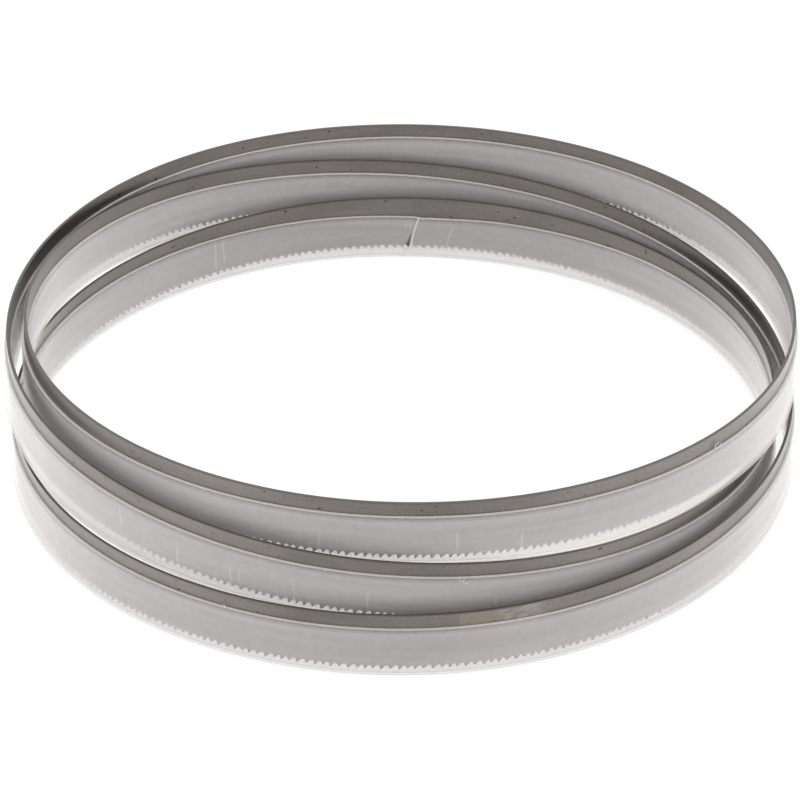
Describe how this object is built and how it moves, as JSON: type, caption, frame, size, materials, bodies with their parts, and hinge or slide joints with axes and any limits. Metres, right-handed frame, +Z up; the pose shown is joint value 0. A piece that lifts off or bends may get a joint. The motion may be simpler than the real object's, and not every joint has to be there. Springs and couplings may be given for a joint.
{
  "type": "band saw blade",
  "caption": "Endless toothed steel band saw blade coiled into three turns, with a translucent plastic channel guard pushed over its teeth.",
  "frame": {"origin": "middle of the coil, at the level that its lowest turn rests on", "axes": "+Z up along the coil's axis, teeth down; -Y towards the front of the coil; the guard's joint is at the rear, +Y"},
  "size_m": [0.169, 0.1734, 0.0372],
  "materials": {
    "steel": "satin rolled steel with fine lengthwise lines",
    "guard_plastic": "milky translucent extruded plastic"
  },
  "bodies": {
    "root": {"blade": "steel", "tooth_guard": "guard_plastic"}
  },
  "joints": []
}
